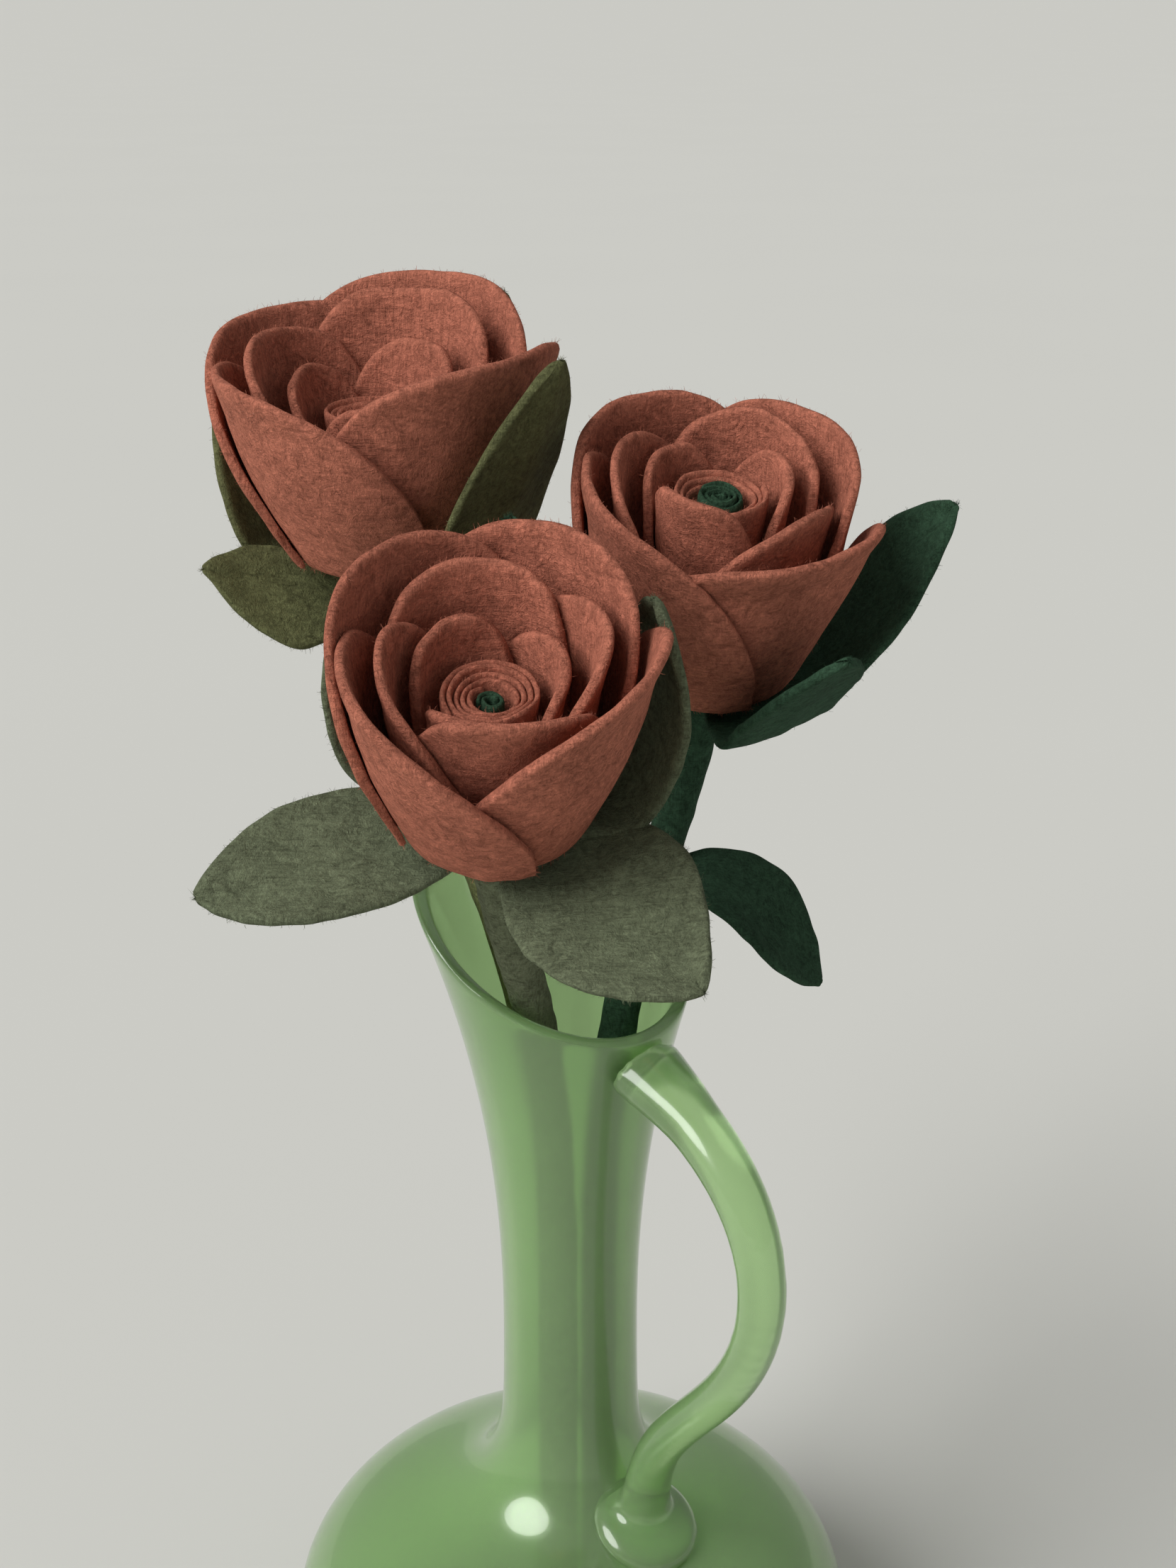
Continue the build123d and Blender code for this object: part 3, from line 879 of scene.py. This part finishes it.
class VASE_OT_leaves(PieceOperator):
    """Cut the felt leaves and bend them out from under each rose"""

    bl_idname = "vase.leaves"
    bl_label = "Leaves"

    def execute(self, context):
        felt = context.scene.flower_settings.leaf_felt / MM
        seed = 80
        for name, rose in ROSES.items():
            for leaf, data in LEAVES[name].items():
                seed += 1
                node, middle = f"{name}_{leaf}", leaf_of(rose, data, seed)
                slot, disc = LEAF_SLOT[name], f"{name}_disc"
                felt_piece(f"{node}_cut", middle, felt, slot, rose["body"], [node], disc)
        node = "right_rose_side_leaf"
        felt_piece(f"{node}_cut", side_leaf(), felt, "forest_felt", "bunch", [node], "right_rose_wrap")
        return {"FINISHED"}


class VASE_OT_calyxes(PieceOperator):
    """Lay a round felt disc under each rose and wind a felt collar round the top of its stem"""

    bl_idname = "vase.calyxes"
    bl_label = "Discs and collars"

    def execute(self, context):
        for name, rose in ROSES.items():
            slot, body = LEAF_SLOT[name], rose["body"]
            height, turn = np.meshgrid(
                np.linspace(-6.9, -2.4, 5), np.linspace(0, 2 * np.pi * 1.05, 49), indexing="ij",
            )
            radius = 3.9 + 0.6 * turn / (2 * np.pi)
            local = np.stack([radius * np.cos(turn + 4.0), radius * np.sin(turn + 4.0), height], -1)
            collar = add_piece(f"{name}_collar", *sheet_mesh(to_world(rose, local), COLLAR_FELT), slot, body)
            radius, turn = np.meshgrid(
                np.linspace(0.6, 12.6, 8), np.linspace(0, 2 * np.pi, 49), indexing="ij",
            )
            local = np.stack([radius * np.cos(turn), radius * np.sin(turn), 0 * turn - 1.05], -1)
            felt_piece(
                f"{name}_disc", to_world(rose, local), DISC_FELT, slot, body, [f"{name}_calyx"], f"{name}_wrap",
                extras=[collar],
            )
        return {"FINISHED"}


class VASE_OT_fuzz(PieceOperator):
    """Raise loose wool fibres on the cut edges and faces of the felt"""

    bl_idname = "vase.fuzz"
    bl_label = "Loose fibres"

    def execute(self, context):
        settings = context.scene.flower_settings
        chance = random.Random(settings.seed)
        for name, rose in ROSES.items():
            for slot in ("petal_felt", LEAF_SLOT[name]):
                felts = [
                    piece for piece in bpy.data.objects
                    if piece.name.startswith(name) and "cut_edge" in piece
                    and piece["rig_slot"] == slot and piece["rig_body"] == rose["body"]
                ]
                amount = settings.fuzz if slot == "petal_felt" else settings.fuzz // 3
                points, faces = self.fibres(felts, amount, chance)
                kind = slot.split("_")[0]
                add_piece(f"{name}_{kind}_fibres", points, faces, slot, rose["body"], levels=0)
        return {"FINISHED"}

    def fibres(self, felts, amount, chance):
        """Thin bent ribbons that stand on the pieces, most of them on their cut edges."""
        places = []
        for felt in felts:
            vertices = felt.data.vertices
            coordinates = np.array([v.co for v in vertices]) / MM
            normals = np.array([v.normal for v in vertices])
            places.append((coordinates, normals, range(felt["cut_edge"], len(vertices)), len(vertices)))
        points, faces = [], []
        for _ in range(amount):
            coordinates, normals, rim, count = places[chance.randrange(len(places))]
            on_rim = chance.random() < FIBRES_ON_EDGE
            i = rim[chance.randrange(len(rim))] if on_rim else chance.randrange(count)
            j = i + 1 if i + 1 < count else i - 1
            share = chance.random()
            along = coordinates[j] - coordinates[i]
            if np.linalg.norm(along) > 4.0:
                share = 0.0
            root = coordinates[i] + along * share
            normal = normals[i]
            stray = np.array([chance.gauss(0, 1) for _ in range(3)])
            lie = stray - normal * stray.dot(normal)
            direction = unit(normal * chance.uniform(0.25, 1.0) + unit(lie) * chance.uniform(0.3, 1.1))
            length = chance.uniform(0.4, 1.3) * (1.0 if on_rim else 0.8)
            width = chance.uniform(0.025, 0.055)
            bend = unit(np.cross(direction, stray)) * length * chance.uniform(-0.35, 0.35)
            side = unit(np.cross(direction, normal + 0.01)) * width
            start = len(points)
            for share in (0.0, 0.5, 1.0):
                centre = root - normal * 0.12 + direction * length * share + bend * share * share
                reach = side * (1 - 0.6 * share)
                points += [centre - reach, centre + reach]
            faces += [(start, start + 1, start + 3, start + 2), (start + 2, start + 3, start + 5, start + 4)]
        return points, faces


class VASE_OT_stage(PieceOperator):
    """Set the floor, the lights and the camera"""

    bl_idname = "vase.stage"
    bl_label = "Stage"

    def execute(self, context):
        settings = context.scene.stage_settings
        scene = context.scene
        side = np.array([-400.0, -20.0, -2.0, 2.0, 20.0, 400.0])
        points = [(x, y, 0.0) for y in side for x in side]
        corners = [6 * i + j for i in range(5) for j in range(5)]
        faces = [(a, a + 1, a + 7, a + 6) for a in corners]
        mesh = bpy.data.meshes.new("floor")
        mesh.from_pydata(points, [], faces)
        floor = bpy.data.objects.new("floor", mesh)
        scene.collection.objects.link(floor)
        mesh.materials.append(floor_paint(tuple(settings.floor)))

        data = bpy.data.lights.new("key_light", "SUN")
        data.energy, data.angle = settings.key, math.radians(42.0)
        light = bpy.data.objects.new("key_light", data)
        light.rotation_euler = Vector((0.64, 0.46, -0.62)).to_track_quat("-Z", "Y").to_euler()
        scene.collection.objects.link(light)
        world = bpy.data.worlds.new("studio")
        world.use_nodes = True
        background = world.node_tree.nodes["Background"]
        background.inputs["Color"].default_value = (1.0, 0.995, 0.975, 1.0)
        background.inputs["Strength"].default_value = settings.sky
        scene.world = world
        data = bpy.data.cameras.new("camera")
        data.lens, data.sensor_width, data.sensor_fit = 48.82, 36.0, "AUTO"
        data.clip_start, data.clip_end = 0.02, 2000.0
        camera = bpy.data.objects.new("camera", data)
        camera.location = (0.004, -0.410, 0.391)
        camera.rotation_euler = (math.radians(69.6), 0.0, 0.0)
        scene.collection.objects.link(camera)
        scene.camera = camera
        scene.view_settings.view_transform = "Standard"
        return {"FINISHED"}


class VASE_PT_panel(bpy.types.Panel):
    """Lists the vase's building steps and settings"""

    bl_idname = "VASE_PT_panel"
    bl_label = "Jug vase"
    bl_space_type = "VIEW_3D"
    bl_region_type = "UI"
    bl_category = "Vase"

    def draw(self, context):
        for group in (getattr(context.scene, name) for name in GROUPS):
            box = self.layout.box()
            for name in group.__annotations__:
                box.prop(group, name)
        for operator in OPERATORS:
            self.layout.operator(operator.bl_idname)


OPERATORS = (
    VASE_OT_body, VASE_OT_handle, VASE_OT_stems, VASE_OT_calyxes, VASE_OT_petals, VASE_OT_centres,
    VASE_OT_leaves, VASE_OT_fuzz, VASE_OT_stage,
)
GROUPS = {"vase_settings": VaseSettings, "flower_settings": FlowerSettings, "stage_settings": StageSettings}


def register():
    for group in GROUPS.values():
        bpy.utils.register_class(group)
    for name, group in GROUPS.items():
        setattr(bpy.types.Scene, name, PointerProperty(type=group))
    for operator in (*OPERATORS, VASE_PT_panel):
        bpy.utils.register_class(operator)


def unregister():
    for operator in (VASE_PT_panel, *reversed(OPERATORS)):
        bpy.utils.unregister_class(operator)
    for name, group in GROUPS.items():
        delattr(bpy.types.Scene, name)
        bpy.utils.unregister_class(group)


def main():
    register()
    for operator in OPERATORS:
        family, step = operator.bl_idname.split(".")
        getattr(getattr(bpy.ops, family), step)()


if __name__ == "__main__":
    main()
